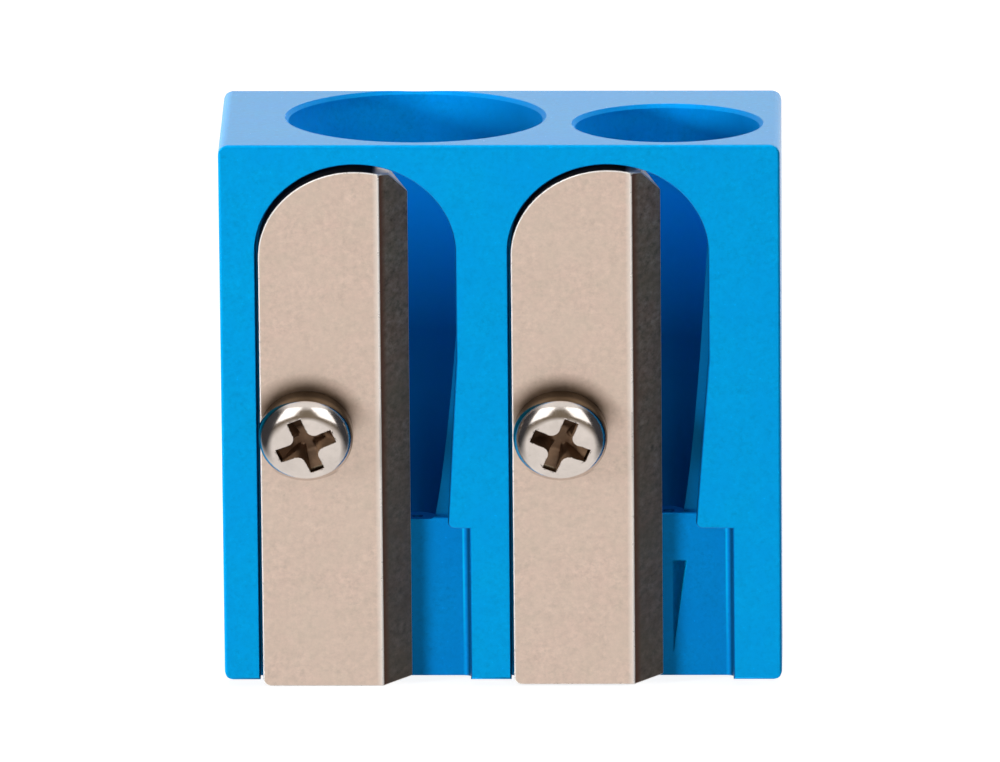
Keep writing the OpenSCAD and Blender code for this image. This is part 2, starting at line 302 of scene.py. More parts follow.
def skin(bm, known, rings, caps=()):
    """Faces between rings of as many points each and over the caps; points that coincide share a vertex."""

    def vert(co):
        key = tuple(round(c, 4) for c in co)
        if key not in known:
            known[key] = bm.verts.new(co)
        return known[key]

    rows = [[vert(co) for co in ring] for ring in rings]
    loops = [[low[i - 1], low[i], high[i], high[i - 1]]
             for low, high in zip(rows, rows[1:]) for i in range(len(low))]
    for loop in loops + [[vert(co) for co in cap] for cap in caps]:
        loop = list(dict.fromkeys(loop))
        if len(loop) > 2:
            bm.faces.new(loop)


def loft(name, rings, place=Matrix()):
    """A closed solid over rings with as many points each, its first and last ring capped."""
    bm = bmesh.new()
    skin(bm, {}, rings, (rings[0], rings[-1]))
    bm.transform(place)
    return link(name, bm)


def prism(name, outline, low, high, place):
    """A flat outline drawn out between two heights."""
    return loft(name, [[(x, y, z) for x, y in outline] for z in (low, high)], place)


def turns(steps):
    """The angles of even steps round a circle."""
    return [2 * math.pi * i / steps for i in range(steps)]


def lathe(name, profile, steps, place=Matrix()):
    """A solid turned round z from (radius, height) points; a radius of 0 makes a pole."""
    rings = [[(r * math.cos(a), r * math.sin(a), z) for a in turns(steps)] for r, z in profile]
    return loft(name, rings, place)


def settle(made):
    """Turns the object's modifiers into its plain mesh."""
    graph = bpy.context.evaluated_depsgraph_get()
    seen, old = made.evaluated_get(graph), made.data
    mesh = bpy.data.meshes.new_from_object(seen, preserve_all_data_layers=True, depsgraph=graph)
    made.modifiers.clear()
    made.data = mesh
    mesh.name = made.name
    bpy.data.meshes.remove(old)
    return made


def carve(made, cutter):
    """Cuts the cutter out of the object, with the cutter's material on the new faces, and throws it away."""
    step = made.modifiers.new("Cut", "BOOLEAN")
    step.operation, step.object, step.solver = "DIFFERENCE", cutter, "EXACT"
    step.material_mode = "TRANSFER"
    settle(made)
    old = cutter.data
    bpy.data.objects.remove(cutter)
    bpy.data.meshes.remove(old)
    return made


def clean(made, weld=0.004, flat=0.2):
    """Welds vertices nearer than weld, and dissolves the lines left between faces flat within an angle."""
    bm = bmesh.new()
    bm.from_mesh(made.data)
    bmesh.ops.remove_doubles(bm, verts=bm.verts[:], dist=weld)
    bmesh.ops.dissolve_degenerate(bm, dist=weld, edges=bm.edges[:])
    flat = math.radians(flat)
    bmesh.ops.dissolve_limit(bm, angle_limit=flat, verts=bm.verts[:], edges=bm.edges[:], delimit={"MATERIAL"})
    bm.to_mesh(made.data)
    bm.free()
    return made


def break_edges(made, radius_of, segments=2, sharper_than=25):
    """Rounds each edge sharper than an angle to the radius that radius_of gives, in the object's units."""
    mesh = made.data
    bm = bmesh.new()
    bm.from_mesh(mesh)
    layers = bm.edges.layers.float
    weights = layers.get("bevel_weight_edge") or layers.new("bevel_weight_edge")
    radii = {}
    for edge in bm.edges:
        if edge.is_manifold and edge.calc_face_angle(0) > math.radians(sharper_than):
            radii[edge] = radius_of(edge) * math.tan(edge.calc_face_angle(0) / 2)
    widest = max(radii.values())
    for edge in bm.edges:
        edge[weights] = radii.get(edge, 0) / widest
    bm.to_mesh(mesh)
    bm.free()
    step = made.modifiers.new("Break", "BEVEL")
    step.limit_method, step.width, step.segments = "WEIGHT", widest, segments
    step.use_clamp_overlap, step.miter_outer, step.profile = False, "MITER_SHARP", 0.5
    return settle(made)


def polish(made, body, node):
    """Gives the piece even shading, scales it to metres and fixes it to its CAD body."""
    made.data.shade_smooth()
    made.data.set_sharp_from_angle(angle=math.radians(38))
    step = made.modifiers.new("Even", "WEIGHTED_NORMAL")
    step.mode, step.weight, step.keep_sharp = "FACE_AREA_WITH_ANGLE", 60, True
    settle(made)
    made.data.transform(Matrix.Scale(MM, 4))
    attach(made, body)
    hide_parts(node)
    return made


# ---------------------------------------------------------------- threads


def tree_node(tree, kind, inputs=(), **settings):
    """A node with its settings made and its inputs set or linked, by name or number."""
    made = tree.nodes.new(kind)
    for key, value in settings.items():
        setattr(made, key, value)
    for key, value in dict(inputs).items():
        socket = made.inputs[key]
        if isinstance(value, bpy.types.NodeSocket):
            tree.links.new(value, socket)
        else:
            socket.default_value = value
    return made


def math_node(tree, operation, *values, clamp=False):
    """A Math node's result."""
    made = tree_node(tree, "ShaderNodeMath", enumerate(values), operation=operation, use_clamp=clamp)
    return made.outputs[0]


def times(tree, first, second):
    """The product of two values."""
    return math_node(tree, "MULTIPLY", first, second)


def thread_tree():
    """Geometry nodes for a right-hand threaded rod, joined to whatever the object's own mesh holds."""
    tree = bpy.data.node_groups.new("Threaded rod", "GeometryNodeTree")
    face = tree.interface
    face.new_socket("Geometry", in_out="INPUT", socket_type="NodeSocketGeometry")
    for name in ("Top", "Length", "Core", "Depth", "Pitch", "Thread Top", "Thread Foot", "Tip"):
        face.new_socket(name, in_out="INPUT", socket_type="NodeSocketFloat")
    for name in ("Facets", "Rings"):
        face.new_socket(name, in_out="INPUT", socket_type="NodeSocketInt")
    face.new_socket("Material", in_out="INPUT", socket_type="NodeSocketMaterial")
    face.new_socket("Geometry", in_out="OUTPUT", socket_type="NodeSocketGeometry")
    given = tree.nodes.new("NodeGroupInput").outputs
    pitch, foot, long = given["Pitch"], given["Thread Foot"], given["Length"]
    sizes = {"Vertices": given["Facets"], "Side Segments": given["Rings"], "Radius": 1.0, "Depth": long}
    rod = tree_node(tree, "GeometryNodeMeshCylinder", sizes, fill_type="NGON")
    place = tree.nodes.new("GeometryNodeInputPosition").outputs[0]
    x, y, z = tree_node(tree, "ShaderNodeSeparateXYZ", {0: place}).outputs
    z = math_node(tree, "ADD", z, math_node(tree, "SUBTRACT", given["Top"], times(tree, long, 0.5)))
    turn = math_node(tree, "DIVIDE", math_node(tree, "ARCTAN2", y, x), 2 * math.pi)
    phase = math_node(tree, "FRACT", math_node(tree, "SUBTRACT", math_node(tree, "DIVIDE", z, pitch), turn))
    ramp = math_node(tree, "ABSOLUTE", math_node(tree, "MULTIPLY_ADD", phase, 2.0, -1.0))
    crest = math_node(tree, "MULTIPLY_ADD", ramp, -1.35, 1.15, clamp=True)
    # the thread rises over one pitch at its start and at its end
    start = math_node(tree, "SUBTRACT", given["Thread Top"], z)
    start = math_node(tree, "DIVIDE", start, pitch, clamp=True)
    end = math_node(tree, "DIVIDE", math_node(tree, "SUBTRACT", z, foot), pitch, clamp=True)
    depth = times(tree, given["Depth"], times(tree, start, end))
    below = math_node(tree, "DIVIDE", math_node(tree, "SUBTRACT", foot, z), 0.4, clamp=True)
    radius = math_node(tree, "MULTIPLY_ADD", crest, depth, given["Core"])
    radius = math_node(tree, "SUBTRACT", radius, times(tree, below, given["Tip"]))
    moved = {"X": times(tree, x, radius), "Y": times(tree, y, radius), "Z": z}
    moved = tree_node(tree, "ShaderNodeCombineXYZ", moved).outputs[0]
    rod = tree_node(tree, "GeometryNodeSetPosition", {"Geometry": rod.outputs[0], "Position": moved})
    whole = tree_node(tree, "GeometryNodeMeshBoolean", operation="UNION", solver="EXACT")
    tree.links.new(given["Geometry"], whole.inputs["Mesh 2"])
    tree.links.new(rod.outputs[0], whole.inputs["Mesh 2"])
    real = tree_node(tree, "GeometryNodeRealizeInstances", {0: whole.outputs[0]})
    coated = {"Geometry": real.outputs[0], "Material": given["Material"]}
    coated = tree_node(tree, "GeometryNodeSetMaterial", coated).outputs[0]
    tree.links.new(coated, tree.nodes.new("NodeGroupOutput").inputs[0])
    return tree


def add_thread(made, material, **values):
    """Adds a threaded rod to the object with the geometry nodes, and makes it a plain mesh."""
    tree = bpy.data.node_groups.get("Threaded rod") or thread_tree()
    step = made.modifiers.new("Thread", "NODES")
    step.node_group = tree
    rings_a_turn = 8
    values["rings"] = round(values["length"] / values["pitch"] * rings_a_turn)
    values = {key.replace("_", " ").title(): value for key, value in values.items()}
    values["Material"] = material
    for item in tree.interface.items_tree:
        if item.in_out == "INPUT" and item.name in values:
            step[item.identifier] = values[item.name]
    return settle(made)


# ---------------------------------------------------------------- finishes


def shader_group(name, inputs, outputs, build):
    """A shader node group, built once; an input with no default is a vector."""
    tree = bpy.data.node_groups.get(name)
    if tree:
        return tree
    tree = bpy.data.node_groups.new(name, "ShaderNodeTree")
    for label, default in inputs:
        kind = "NodeSocketVector" if default is None else "NodeSocketFloat"
        socket = tree.interface.new_socket(label, in_out="INPUT", socket_type=kind)
        if default is not None:
            socket.default_value = default
    for label in outputs:
        tree.interface.new_socket(label, in_out="OUTPUT", socket_type="NodeSocketFloat")
    given, taken = tree.nodes.new("NodeGroupInput").outputs, tree.nodes.new("NodeGroupOutput").inputs
    for label, socket in build(tree, given).items():
        tree.links.new(socket, taken[label])
    return tree


def group_node(tree, group, **inputs):
    """The outputs of a group placed in a tree, its inputs set or linked by name."""
    named = {label.replace("_", " ").title(): value for label, value in inputs.items()}
    return tree_node(tree, "ShaderNodeGroup", named, node_tree=group).outputs


def noise(tree, vector, scale, detail=2.0, roughness=0.5):
    """A noise texture's value."""
    inputs = {"Vector": vector, "Scale": scale, "Detail": detail, "Roughness": roughness}
    return tree_node(tree, "ShaderNodeTexNoise", inputs).outputs["Fac"]


def spread(tree, value, low, high, to_low=0.0, to_high=1.0):
    """The value's range from low to high laid over another range, and held at its ends."""
    inputs = {"Value": value, "From Min": low, "From Max": high, "To Min": to_low, "To Max": to_high}
    return tree_node(tree, "ShaderNodeMapRange", inputs).outputs[0]


def part(tree, vector, axis):
    """A vector's x, y or z, for axis 0, 1 or 2."""
    return tree_node(tree, "ShaderNodeSeparateXYZ", {0: vector}).outputs[axis]


def vector_value(tree, operation, first, second):
    """The value that a Vector Math node finds for two vectors."""
    made = tree_node(tree, "ShaderNodeVectorMath", {0: first, 1: second}, operation=operation)
    return made.outputs["Value"]


def facing_right(tree):
    """How much the surface faces right, from -1 to 1."""
    return part(tree, tree.nodes.new("ShaderNodeTexCoord").outputs["Normal"], 0)


def grain_group():
    """Grain of cast or tumbled metal: clouds, fine specks, a few pits, and the height of the last two."""

    def build(tree, given):
        v = given["Vector"]
        cloud = spread(tree, noise(tree, v, given["Cloud Scale"], 3.0, 0.6), 0.3, 0.7)
        speck = spread(tree, noise(tree, v, given["Speck Scale"], 3.0, 0.7), 0.25, 0.75)
        pit = spread(tree, noise(tree, v, given["Pit Scale"], 1.0), 0.68, 0.8)
        height = math_node(tree, "SUBTRACT", speck, times(tree, pit, 1.5))
        return {"Cloud": cloud, "Speck": speck, "Pit": pit, "Height": height}

    inputs = (("Vector", None), ("Cloud Scale", 500.0), ("Speck Scale", 6000.0), ("Pit Scale", 2500.0))
    return shader_group("Metal grain", inputs, ("Cloud", "Speck", "Pit", "Height"), build)


def grinding_group():
    """Fine lines that a grinding wheel leaves, as a mask, drawn out along the axis of least stretch."""

    def build(tree, given):
        inputs = {0: given["Vector"], 1: given["Stretch"]}
        drawn = tree_node(tree, "ShaderNodeVectorMath", inputs, operation="MULTIPLY").outputs[0]
        coarse = noise(tree, drawn, given["Scale"], 4.0, 0.65)
        fine = noise(tree, drawn, times(tree, given["Scale"], 3.7))
        lines = math_node(tree, "ADD", times(tree, coarse, 0.65), times(tree, fine, 0.35))
        return {"Lines": spread(tree, lines, 0.3, 0.7)}

    inputs = (("Vector", None), ("Stretch", None), ("Scale", 4000.0))
    return shader_group("Grinding lines", inputs, ("Lines",), build)


def grain_node(tree, place, cloud, speck, pit):
    """The metal grain's outputs, for the scales of its clouds, specks and pits."""
    return group_node(tree, grain_group(), vector=place, cloud_scale=cloud, speck_scale=speck, pit_scale=pit)


def new_material(name):
    """An empty node material, its tree, its principled shader and its object coordinates."""
    made = bpy.data.materials.new(name)
    made.use_nodes = True
    tree = made.node_tree
    tree.nodes.clear()
    shader = tree.nodes.new("ShaderNodeBsdfPrincipled")
    tree.links.new(shader.outputs[0], tree.nodes.new("ShaderNodeOutputMaterial").inputs["Surface"])
    return made, tree, shader, tree.nodes.new("ShaderNodeTexCoord").outputs["Object"]


def tint(tree, factor, low, high):
    """A colour between two, by the factor."""
    low, high = (c if isinstance(c, bpy.types.NodeSocket) else (*c, 1) for c in (low, high))
    return tree_node(tree, "ShaderNodeMix", {"Factor": factor, 6: low, 7: high}, data_type="RGBA").outputs[2]


def blotch(tree, base, mask, strength, rgb):
    """The base with a colour laid over it where the mask is, at most at the strength."""
    return tint(tree, times(tree, mask, strength), base, rgb)


def scaled(rgb, *factors):
    """A colour made lighter or darker, by one factor or by one for each channel."""
    factors = factors if len(factors) == 3 else factors * 3
    return tuple(min(1.0, c * factor) for c, factor in zip(rgb, factors))


def dress(tree, shader, base, metallic, rough, rough_mask, height, strength, rise=0.00001):
    """Gives the shader its colour, its roughness between two values by a mask, and its bump, in metres."""
    tree.links.new(base, shader.inputs["Base Color"])
    tree.links.new(spread(tree, rough_mask, 0, 1, *rough), shader.inputs["Roughness"])
    shader.inputs["Metallic"].default_value = metallic
    made = tree_node(tree, "ShaderNodeBump", {"Strength": strength, "Distance": rise, "Height": height})
    tree.links.new(made.outputs[0], shader.inputs["Normal"])


def blue_base(tree, place, rgb):
    """Mottled blue with specks, soft clouds and a few greener and darker patches, and the specks' mask."""
    fine = grain_node(tree, place, 2600.0, 5200.0, 2600.0)
    broad = grain_node(tree, place, 300.0, 1200.0, 900.0)
    base = tint(tree, fine["Speck"], scaled(rgb, 0.66), scaled(rgb, 1.34))
    base = blotch(tree, base, fine["Cloud"], 0.6, scaled(rgb, 0.8))
    base = blotch(tree, base, broad["Speck"], 0.6, scaled(rgb, 1, 1.1, 1.02))
    base = blotch(tree, base, broad["Cloud"], 0.5, scaled(rgb, 1, 0.88, 1))
    return base, fine["Speck"]


def blue_shader(tree, shader, base, specks, rough=0.2):
    """Satin coloured metal: blue where it faces the light, white only at a glancing angle."""
    shader.inputs["IOR"].default_value = 1.7
    shader.inputs["Specular Tint"].default_value = (0.0, 0.5, 1.0, 1.0)
    dress(tree, shader, base, 0.12, (rough, rough + 0.08), specks, specks, 0.1)


def blue_finish(f):
    """Blue coloured metal with the fine grain of a cast and tumbled surface."""
    made, tree, shader, place = new_material("Blue cast body")
    blue_shader(tree, shader, *blue_base(tree, place, f.blue))
    return made


def pocket_finish(f, lean, deep):
    """The sunk surfaces: a deeper blue as painted shade, painted shade on walls that face left, a bright line
    beside the recess as a painted highlight, and darker still on the chip slot's floor.

    deep is how far from the origin, along the face's normal, half the seat's depth lies.
    """
    made, tree, shader, place = new_material("Blue pocket")
    base, specks = blue_base(tree, place, f.sunk)
    side = facing_right(tree)
    sunk = vector_value(tree, "DOT_PRODUCT", place, (0, math.cos(lean), math.sin(lean)))
    # painted shade: walls that face left go nearly dark
    base = tint(tree, spread(tree, side, -0.35, -0.75, 0.0, 0.95), base, scaled(f.sunk, 0.12))
    # painted highlight: a bright line where a recess's fillet starts to turn up, fading towards the foot
    line = times(tree, spread(tree, side, -0.02, -0.1), spread(tree, side, -0.34, -0.2))
    line = times(tree, line, spread(tree, sunk, deep, deep + 0.0001))
    line = times(tree, line, spread(tree, part(tree, place, 2), 0.001, 0.004, 0.2, 1.0))
    base = blotch(tree, base, line, f.line, f.gleam)
    # painted shade: the chip slot's floor, below the seat, goes darker
    slot_floor = spread(tree, sunk, deep + 0.00048, deep + 0.0006, 0.0, 0.7)
    blue_shader(tree, shader, tint(tree, slot_floor, base, scaled(f.sunk, 0.25)), specks)
    return made


def groove_finish(f):
    """The point groove: a lighter blue as painted light, with a dark steep side as painted shade."""
    made, tree, shader, place = new_material("Blue groove")
    base, specks = blue_base(tree, place, f.groove)
    # painted shade on the groove's steep side, which faces right
    steep = spread(tree, facing_right(tree), 0.0, 0.5, 0.0, 0.95)
    blue_shader(tree, shader, tint(tree, steep, base, scaled(f.sunk, 0.2)), specks)
    return made


def bore_finish(f):
    """The pencil holes' walls: blue round the mouth, tuned as painted light, with painted shade on walls that
    face left and farther down the cone.
    """
    made, tree, shader, place = new_material("Blue bore")
    base, specks = blue_base(tree, place, f.bore)
    z = part(tree, place, 2)
    # painted shade on walls that face left
    base = tint(tree, spread(tree, facing_right(tree), -0.1, -0.8, 0.0, 0.85), base, scaled(f.bore, 0.35))
    # painted shade: the heights at which each darker colour sets in and has taken over
    for start, end, rgb in (
        (0.0225, 0.021, scaled(f.sunk, 1.6)),
        (0.0215, 0.015, scaled(f.sunk, 0, 0.43, 0.52)),
        (0.0125, 0.0095, scaled(f.sunk, 0, 0.25, 0.38)),
    ):
        base = tint(tree, spread(tree, z, start, end), base, rgb)
    blue_shader(tree, shader, base, specks, 0.5)
    return made


def steel_finish(f, name, rgb, rough=0.34, metallic=0.9, screws=()):
    """Hardened steel, matt and warm, with faint clouds, grinding lines, painted shade round each screw, and a
    brighter strip towards the bevel that is partly polish and partly a painted highlight.
    """
    made, tree, shader, place = new_material(name)
    fine = grain_node(tree, place, 900.0, 3800.0, 2400.0)
    broad = grain_node(tree, place, 330.0, 1300.0, 900.0)
    lines = group_node(tree, grinding_group(), vector=place, stretch=(0.15, 1.0, 1.0), scale=4200.0)["Lines"]
    base = tint(tree, fine["Speck"], scaled(rgb, 0.64), scaled(rgb, 1.24))
    base = blotch(tree, base, fine["Cloud"], 0.5, scaled(rgb, 0.8, 0.88, 0.84))
    base = blotch(tree, base, broad["Speck"], 0.5, scaled(rgb, 1.03, 0.95, 0.97))
    base = blotch(tree, base, broad["Cloud"], 0.4, scaled(rgb, 0.93, 1, 0.98))
    base = blotch(tree, base, lines, 0.2, scaled(rgb, 0.9))
    z = part(tree, place, 2)
    # painted shade: a soft brown halo above each screw head, and a thin dark arc just below it as a painted
    # shadow
    for centre in screws:
        away = vector_value(tree, "DISTANCE", place, centre)
        above = spread(tree, z, centre.z, centre.z + 0.0012)
        base = blotch(tree, base, times(tree, spread(tree, away, f.halo, 0.0021), above), 0.8, f.head_shade)
        below = spread(tree, z, centre.z - 0.0017, centre.z - 0.002)
        base = blotch(tree, base, times(tree, spread(tree, away, 0.00238, 0.0023), below), 0.7, f.head_shade)
    # partly polish, partly a painted highlight: the flat brightens towards the bevel's upper edge
    base = tint(tree, spread(tree, across_blade(tree), -0.22, -0.02, 0.0, 0.7), base, f.glint)
    height = math_node(tree, "ADD", fine["Height"], times(tree, lines, 0.6))
    dress(tree, shader, base, metallic, (rough, rough + 0.1), fine["Speck"], height, 0.2, 0.000006)
    return made


def across_blade(tree):
    """How far over the bevel a point of a blade lies: 0 at its upper edge, 1 at the cutting edge."""
    return tree_node(tree, "ShaderNodeAttribute", attribute_name=ACROSS).outputs["Fac"]


def bevel_finish(f):
    """The blade's bevel: dark as a painted reflection, darker towards its foot as painted shade, brown along
    its upper edge, with lines across the cutting edge.
    """
    made, tree, shader, place = new_material("Blade bevel steel")
    fine = grain_node(tree, place, 1100.0, 3600.0, 2000.0)
    broad = grain_node(tree, place, 420.0, 1500.0, 900.0)
    lines = group_node(tree, grinding_group(), vector=place, stretch=(0.1, 1.0, 1.0), scale=5200.0)["Lines"]
    # painted reflection: the bevel is kept dark as if mirroring dark surroundings
    base = tint(tree, fine["Speck"], scaled(f.hollow, 0.1), scaled(f.hollow, 2.5))
    base = blotch(tree, base, fine["Cloud"], 0.6, scaled(f.hollow, 1.15, 0.8, 0.7))
    base = blotch(tree, base, broad["Cloud"], 0.5, scaled(f.hollow, 0.75, 0.95, 0.75))
    # painted shade: the bevel goes darker towards its foot
    base = blotch(tree, base, spread(tree, part(tree, place, 2), 0.022, 0.004), 0.5, scaled(f.hollow, 0.6))
    base = blotch(tree, base, lines, 0.2, scaled(f.hollow, 1.3))
    # a brown band along the bevel's upper edge
    base = tint(tree, spread(tree, across_blade(tree), 0.24, 0.08, 0.0, 0.9), base, f.edge_brown)
    dress(tree, shader, base, 0.6, (0.35, 0.5), lines, lines, 0.3)
    return made


def nickel_finish(name, rgb):
    """Nickel plating, hardly marked."""
    made, tree, shader, place = new_material(name)
    grain = grain_node(tree, place, 900.0, 7000.0, 2600.0)
    base = tint(tree, grain["Cloud"], scaled(rgb, 0.9), scaled(rgb, 1.06))
    base = blotch(tree, base, grain["Pit"], 0.3, scaled(rgb, 0.6))
    dress(tree, shader, base, 1.0, (0.13, 0.2), grain["Speck"], grain["Height"], 0.06)
    return made


def recess_brown_finish(f):
    """Brownish, darker metal inside the cross recess."""
    made, tree, shader, place = new_material("Recess metal")
    grain = grain_node(tree, place, 1500.0, 7000.0, 3000.0)
    base = tint(tree, grain["Cloud"], scaled(f.recess_brown, 0.7), scaled(f.recess_brown, 1.3))
    dress(tree, shader, base, 0.6, (0.35, 0.5), grain["Speck"], grain["Height"], 0.2)
    return made


# ---------------------------------------------------------------- pieces


def wedge(p):
    """The uncut wedge, each of its twelve edges with its own radius."""
    b = p.b
    corners = ((p.front, b.body_h), (p.foot, 0), (p.back, 0), (p.back, b.body_h))
    made = loft("SharpenerBody", [[(x, y, z) for y, z in corners] for x in (-p.side, p.side)])
    radii = {(0, 1): b.side_r, (1, 2): b.corner_r, (2, 3): b.back_r, (0, 3): b.corner_r}

    def corner_at(v):
        return min(range(4), key=lambda i: (Vector(corners[i]) - v.co.yz).length)

    def radius_of(edge):
        first, last = sorted(corner_at(v) for v in edge.verts)
        if first == last:
            return b.brow_r if first < 2 else b.back_r
        return radii[first, last]

    return break_edges(made, radius_of, segments=4)


def hole_cutter(p, x, diameter, end_r, chip_foot):
    """Mouth chamfer, guide, cone and relief, tilted so that the cone's front wall follows the seat."""
    b = p.b
    r = diameter / 2
    end = chip_foot + b.seat_depth * p.sin + b.cone_stop - b.body_h
    tilt = b.face_lean - math.atan((end_r - r) / (end + b.guide_len))
    sin, cos = math.sin(tilt), math.cos(tilt)
    spin = turns(b.hole_facets)

    def ring(radius, height):
        return [(radius * math.cos(a), radius * math.sin(a) * cos - height * sin,
                 radius * math.sin(a) * sin + height * cos) for a in spin]

    def mouth(out, level):
        heights = [(-b.mouth_chamfer - r * math.sin(a) * sin) / cos for a in spin]
        return [((r + out) * math.cos(a), (r * cos + out) * math.sin(a) - height * sin, level)
                for a, height in zip(spin, heights)]

    above = 0.8
    rings = [ring(0, end - b.tip_len), ring(b.tip_r, end), ring(end_r, end), ring(r, -b.guide_len),
             mouth(0, -b.mouth_chamfer), mouth(b.mouth_chamfer + above, above)]
    return loft("Hole", rings, Matrix.Translation((x, p.front + b.hole_wall + r, b.body_h)))


def grown(points, out):
    """A closed outline, drawn clockwise, moved outwards by a distance with mitred corners."""
    moved = []
    for before, q, after in zip(points[-1:] + points, points, points[1:] + points[:1]):
        n, m = ((complex(*late) - complex(*early)) * 1j for early, late in ((before, q), (q, after)))
        n, m = n / abs(n), m / abs(m)
        q = complex(*q) + (n + m) / (1 + (n * m.conjugate()).real) * out
        moved.append((q.real, q.imag))
    return moved if out else points


def pocket_cutter(p, x, taper, recess_out, chip_foot):
    """Seat, deeper chip slot and wide recess of one blade pocket, the edges on the front face rounded."""
    b = p.b
    r, c, f = p.pocket_w / 2, b.slot_corner_r, b.recess_fillet
    right, slot_x = x + p.pocket_w, x + p.slot_in
    wall, side = right - taper, right + recess_out
    crown, flank = -b.pocket_drop - r, -p.along(b.taper_top)
    chip, ledge, foot = -p.along(chip_foot), -p.along(b.recess_h), -p.along(-1)
    start = math.degrees(math.acos((p.slot_in - r) / r))
    blade_side = [(x, foot)] + arc(x + r, crown, r, 180, start, 64)
    slot_side = arc(x + r, crown, r, start, 0, 36) + [(right, flank)]
    corner = arc(wall + c, ledge + c, c, 180, 270, 8)

    def outline(depth, side_x, out=0.0):
        points = blade_side + slot_side[1:] + corner + [(side_x, ledge), (side_x, foot)]
        return [(*q, depth) for q in grown(points, out)]

    # the floor's fillet, then the rounded rim, which ends a little above the face, then the way out
    past, above, wide = 0.003, 1, 0.3
    rings = [outline(w - b.seat_depth, wx) for wx, w in arc(side - f, f, f, -90, 0, 8)]
    rings += [outline(w, side, b.rim_r - out) for out, w in arc(0, past - b.rim_r, b.rim_r, 0, 90, 4)]
    rings.append(outline(above, side, b.rim_r + wide))
    slot = []
    for out, w in [(b.lip_r, -b.chip_step)] + arc(0, -b.lip_r, b.lip_r, 0, 90, 4):
        points = [*slot_side, corner[0], (wall, chip + out), (slot_x, chip + out)]
        slot.append([(*q, w - b.seat_depth) for q in points])
    bm = bmesh.new()
    known = {}
    skin(bm, known, rings, [rings[-1]])
    seat = rings[0][:len(blade_side)] + slot[-1][:-3:-1] + rings[0][len(blade_side) + len(slot_side) - 1:]
    skin(bm, known, slot, [slot[0], seat])
    bm.transform(p.face)
    return link("Pocket", bm)


def groove_cutter(p):
    """Half a cone let into the recess's floor, its steep side towards the blade."""
    b = p.b
    top, foot = p.along(b.groove_top), p.along(b.groove_foot)
    place = p.down @ Matrix.Translation((p.small_x + b.groove_out, -b.seat_depth, top))
    blunt = 0.02
    rings = [[(px, py, z) for px, py in arc(0, 0, radius, -90, 90, 20)]
             for radius, z in ((b.groove_w, 0), (blunt, foot - top))]
    return loft("Groove", rings, place)


def screw_place(p, x, inset):
    """Where the underside of a screw's head lies, with z out of the blade."""
    return p.face @ Matrix.Translation((x + p.k.gap + inset, -p.s.down, p.blade_front))


def tapped_hole(p, x, inset, material):
    """The cutter for a screw's threaded hole: clear of the screw, with a shallow thread in its wall."""
    b, k, s = p.b, p.k, p.s
    above, run_out, drill_tip = 0.4, 0.3, 0.25
    seat = -p.blade_front - b.seat_depth
    top, foot = seat + above, seat - (s.shank - k.thickness + s.spare)
    made = link("TappedHole", bmesh.new())
    add_thread(made, material, top=top, length=top - foot, core=s.thread_d / 2 + s.play,
               depth=s.tap_depth, pitch=s.pitch, thread_top=top, thread_foot=foot + run_out,
               tip=drill_tip, facets=s.thread_facets)
    made.data.transform(screw_place(p, x, inset))
    return made


class SHARPENER_OT_body(bpy.types.Operator):
    """Makes the cast body with its pencil holes, blade pockets, point groove and threaded holes"""

    bl_idname = "sharpener.body"
    bl_label = "Make the body"

    def execute(self, context):
        p = plan(context.scene)
        b, f = p.b, context.scene.sharpener_finish
        deep = (p.front * p.cos + b.body_h * p.sin + b.seat_depth / 2) * MM
        finish, pocket, bore = blue_finish(f), pocket_finish(f, b.face_lean, deep), bore_finish(f)
        made = wedge(p)
        made.data.materials.append(finish)
        for cutter, kind in (
            (pocket_cutter(p, p.left_x, b.left_taper, b.left_recess_out, b.left_chip_foot), pocket),
            (pocket_cutter(p, p.right_x, b.right_taper, b.right_recess_out, b.right_chip_foot), pocket),
            (hole_cutter(p, p.big_x, b.big_hole_d, b.big_end_r, b.left_chip_foot), bore),
            (hole_cutter(p, p.small_x, b.small_hole_d, b.small_end_r, b.right_chip_foot), bore),
            (groove_cutter(p), groove_finish(f)),
        ):
            cutter.data.materials.append(kind)
            carve(made, cutter)
        clean(made)

        def radius_of(edge):
            on_foot = all(abs(v.co.z) <= NEAR for v in edge.verts)
            return b.foot_r if on_foot and edge.calc_length() >= 3 * NEAR else 0

        break_edges(made, radius_of)
        for x, inset in ((p.left_x, p.s.left_in), (p.right_x, p.s.right_in)):
            carve(made, tapped_hole(p, x, inset, finish))
        polish(made, "sharpener_body", "body")
        return {"FINISHED"}


def blade_outline(p, r):
    """A blade's outline from its top left corner: round shoulder, cut corner, small round heel."""
    k = p.k
    corner, slope = k.width - k.corner_w, k.corner_drop / k.corner_w
    # the shoulder's circle goes on past its crown until it meets the cut corner
    crown = []
    for x, y in arc(r, -r, r, 90, 20, 60)[1:]:
        if y > -slope * (x - corner):
            break
        crown.append((x, y))
    x, y = crown[-1]
    t = (x - corner - y * slope) / (1 + slope * slope)
    cut = [(corner + t, -slope * t), (k.width, -k.corner_drop), (k.width, -p.blade_len)]
    heel = arc(k.heel_r, k.heel_r - p.blade_len, k.heel_r, 270, 180, 8)
    return arc(r, -r, r, 180, 90, 64) + crown + cut + heel


